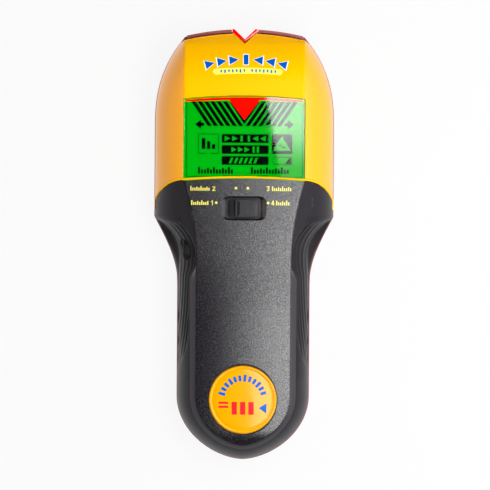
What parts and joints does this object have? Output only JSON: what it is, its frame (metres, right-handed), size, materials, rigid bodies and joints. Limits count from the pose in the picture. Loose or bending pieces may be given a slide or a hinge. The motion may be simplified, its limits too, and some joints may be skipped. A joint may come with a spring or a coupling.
{
  "type": "stud finder",
  "caption": "Hand-held electronic stud finder with a wide display head, notched marking edge, sliding mode switch, side scan button and rounded grip with a rear battery door.",
  "frame": {"origin": "centre of the back face that slides over the wall, under the middle of the outline", "axes": "+Z out through the display, +Y from the grip towards the marking notch, +X to the right seen from the front"},
  "size_m": [0.0774, 0.1854, 0.038],
  "materials": {
    "maroon_plastic": "fine satin moulding",
    "yellow_plastic": "glossy moulded plastic",
    "charcoal_plastic": "fine textured matte plastic",
    "red_lens": "translucent red, polished",
    "clear_window": "clear, polished",
    "lcd": "backlit display glass",
    "white_plastic": "diffusing",
    "black_plastic": "moulded",
    "soft_rubber": "matte",
    "foam": "open cell, matte",
    "circuit_board": "solder resist",
    "copper": "enamelled",
    "steel": "zinc plated",
    "cell_case": "satin wrap",
    "badge_plastic": "glossy domed label",
    "red_wire": "insulation",
    "black_wire": "insulation"
  },
  "bodies": {
    "root": {"amplifier_chip": "black_plastic", "backlight_panel": "white_plastic", "badge": "badge_plastic", "battery": "cell_case", "battery_lead_black": "black_wire", "battery_lead_red": "red_wire", "battery_snap": "black_plastic", "board_header": "black_plastic", "buzzer": "black_plastic", "capacitor": "cell_case", "contact_base": "black_plastic", "crystal": "steel", "display_window": "clear_window", "grip_housing": "charcoal_plastic", "head_cover": "yellow_plastic", "housing_screw_1": "steel", "housing_screw_2": "steel", "housing_screw_3": "steel", "housing_screw_4": "steel", "housing_screw_5": "steel", "lcd_frame": "black_plastic", "lcd_glass": "lcd", "led_holder": "white_plastic", "main_board": "circuit_board", "microcontroller": "black_plastic", "notch_lens": "red_lens", "pointer_guide": "red_lens", "pointer_led": "red_lens", "rear_housing": "maroon_plastic", "scan_switch": "steel", "sensing_coil": "copper", "sensor_board": "circuit_board", "zebra_strip": "soft_rubber"},
    "mode_switch": {"mode_knob": "charcoal_plastic", "mode_contact": "copper"},
    "scan_key": {"scan_button": "soft_rubber", "switch_plunger": "black_plastic"},
    "rear_door": {"battery_door": "maroon_plastic", "battery_pad": "foam"}
  },
  "joints": [
    {"name": "mode_slide", "type": "slide", "parent": "root", "child": "mode_switch", "axis": [1, 0, 0], "range_m": [-0.0034, 0.0068]},
    {"name": "scan_press", "type": "slide", "parent": "root", "child": "scan_key", "axis": [1, 0, 0], "range_m": [0, 0.001], "stiffness_N_per_m": 600, "springref_m": -0.0003},
    {"name": "door_hinge", "type": "hinge", "parent": "root", "child": "rear_door", "pos_m": [0, -0.0759, 0], "axis": [-1, 0, 0], "range_deg": [0, 100]}
  ]
}
